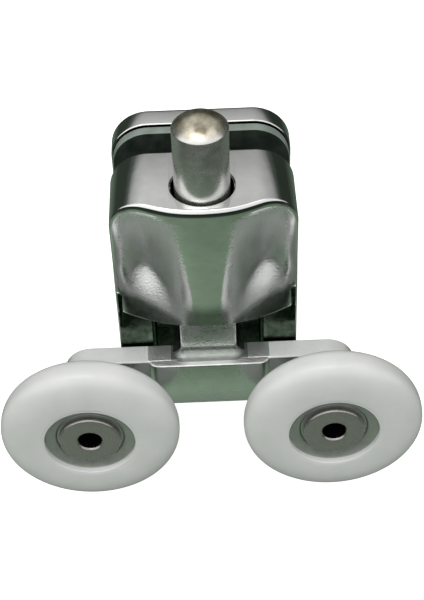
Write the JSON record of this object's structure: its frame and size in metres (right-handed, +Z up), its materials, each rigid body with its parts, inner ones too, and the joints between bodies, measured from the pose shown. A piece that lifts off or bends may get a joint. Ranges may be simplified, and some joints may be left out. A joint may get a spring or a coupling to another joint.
{
  "type": "sliding door roller",
  "caption": "Clamp-on roller for a sliding glass door: a sprung push pin lowers a carriage on two ball-bearing wheels to release it from its track.",
  "frame": {"origin": "middle of the front gasket's rear face, where the glass leans, midway between the two clamp screws", "axes": "+Z up, +Y towards the glass and the clamp plate, -Y towards the wheels, +X along the track"},
  "size_m": [0.059, 0.0345, 0.0552],
  "materials": {
    "chrome_casting": "bright chrome plate on a die casting, satin in the two front hollows",
    "satin_steel": "turned steel, satin",
    "spring_steel": "drawn spring wire",
    "bearing_steel": "ground bearing steel",
    "zinc_steel": "zinc plated",
    "brass": "turned brass",
    "white_nylon": "moulded white nylon with a soft gloss",
    "cage_nylon": "moulded, matt",
    "sleeve_plastic": "moulded, translucent",
    "gasket_rubber": "soft clear grey sheet"
  },
  "bodies": {
    "frame": {"housing": "chrome_casting", "front_gasket": "gasket_rubber", "back_gasket": "gasket_rubber", "clamp_plate": "chrome_casting", "upper_threaded_post": "brass", "lower_threaded_post": "brass", "upper_glass_sleeve": "sleeve_plastic", "lower_glass_sleeve": "sleeve_plastic", "upper_clamp_screw": "zinc_steel", "lower_clamp_screw": "zinc_steel", "return_spring": "spring_steel"},
    "plunger": {"push_pin": "satin_steel", "carriage": "chrome_casting", "carriage_screw": "zinc_steel", "left_axle": "satin_steel", "right_axle": "satin_steel", "left_axle_spacer": "zinc_steel", "right_axle_spacer": "zinc_steel", "left_bearing_inner_race": "bearing_steel", "right_bearing_inner_race": "bearing_steel"},
    "left_wheel": {"left_tyre": "white_nylon", "left_bearing_outer_race": "bearing_steel", "left_bearing_front_shield": "bearing_steel", "left_bearing_rear_shield": "bearing_steel"},
    "right_wheel": {"right_tyre": "white_nylon", "right_bearing_outer_race": "bearing_steel", "right_bearing_front_shield": "bearing_steel", "right_bearing_rear_shield": "bearing_steel"},
    "left_cage": {"left_bearing_cage": "cage_nylon", "left_bearing_ball_1": "bearing_steel", "left_bearing_ball_2": "bearing_steel", "left_bearing_ball_3": "bearing_steel", "left_bearing_ball_4": "bearing_steel", "left_bearing_ball_5": "bearing_steel", "left_bearing_ball_6": "bearing_steel", "left_bearing_ball_7": "bearing_steel"},
    "right_cage": {"right_bearing_cage": "cage_nylon", "right_bearing_ball_1": "bearing_steel", "right_bearing_ball_2": "bearing_steel", "right_bearing_ball_3": "bearing_steel", "right_bearing_ball_4": "bearing_steel", "right_bearing_ball_5": "bearing_steel", "right_bearing_ball_6": "bearing_steel", "right_bearing_ball_7": "bearing_steel"}
  },
  "joints": [
    {"name": "plunger_slide", "type": "slide", "parent": "frame", "child": "plunger", "axis": [0, 0, -1], "range_m": [0, 0.008], "stiffness_N_per_m": 800, "springref_m": -0.008, "deforming": ["return_spring"]},
    {"name": "left_wheel_spin", "type": "hinge", "parent": "plunger", "child": "left_wheel", "pos_m": [-0.017, -0.02225, -0.0127], "axis": [0, 1, 0], "continuous": true},
    {"name": "right_wheel_spin", "type": "hinge", "parent": "plunger", "child": "right_wheel", "pos_m": [0.017, -0.02225, -0.0127], "axis": [0, 1, 0], "continuous": true},
    {"name": "left_cage_spin", "type": "hinge", "parent": "plunger", "child": "left_cage", "pos_m": [-0.017, -0.02225, -0.0127], "axis": [0, 1, 0], "continuous": true},
    {"name": "right_cage_spin", "type": "hinge", "parent": "plunger", "child": "right_cage", "pos_m": [0.017, -0.02225, -0.0127], "axis": [0, 1, 0], "continuous": true}
  ],
  "couplings": [
    {"joint": "left_cage_spin", "follows": "left_wheel_spin", "ratio": 0.6131},
    {"joint": "right_cage_spin", "follows": "right_wheel_spin", "ratio": 0.6131}
  ]
}
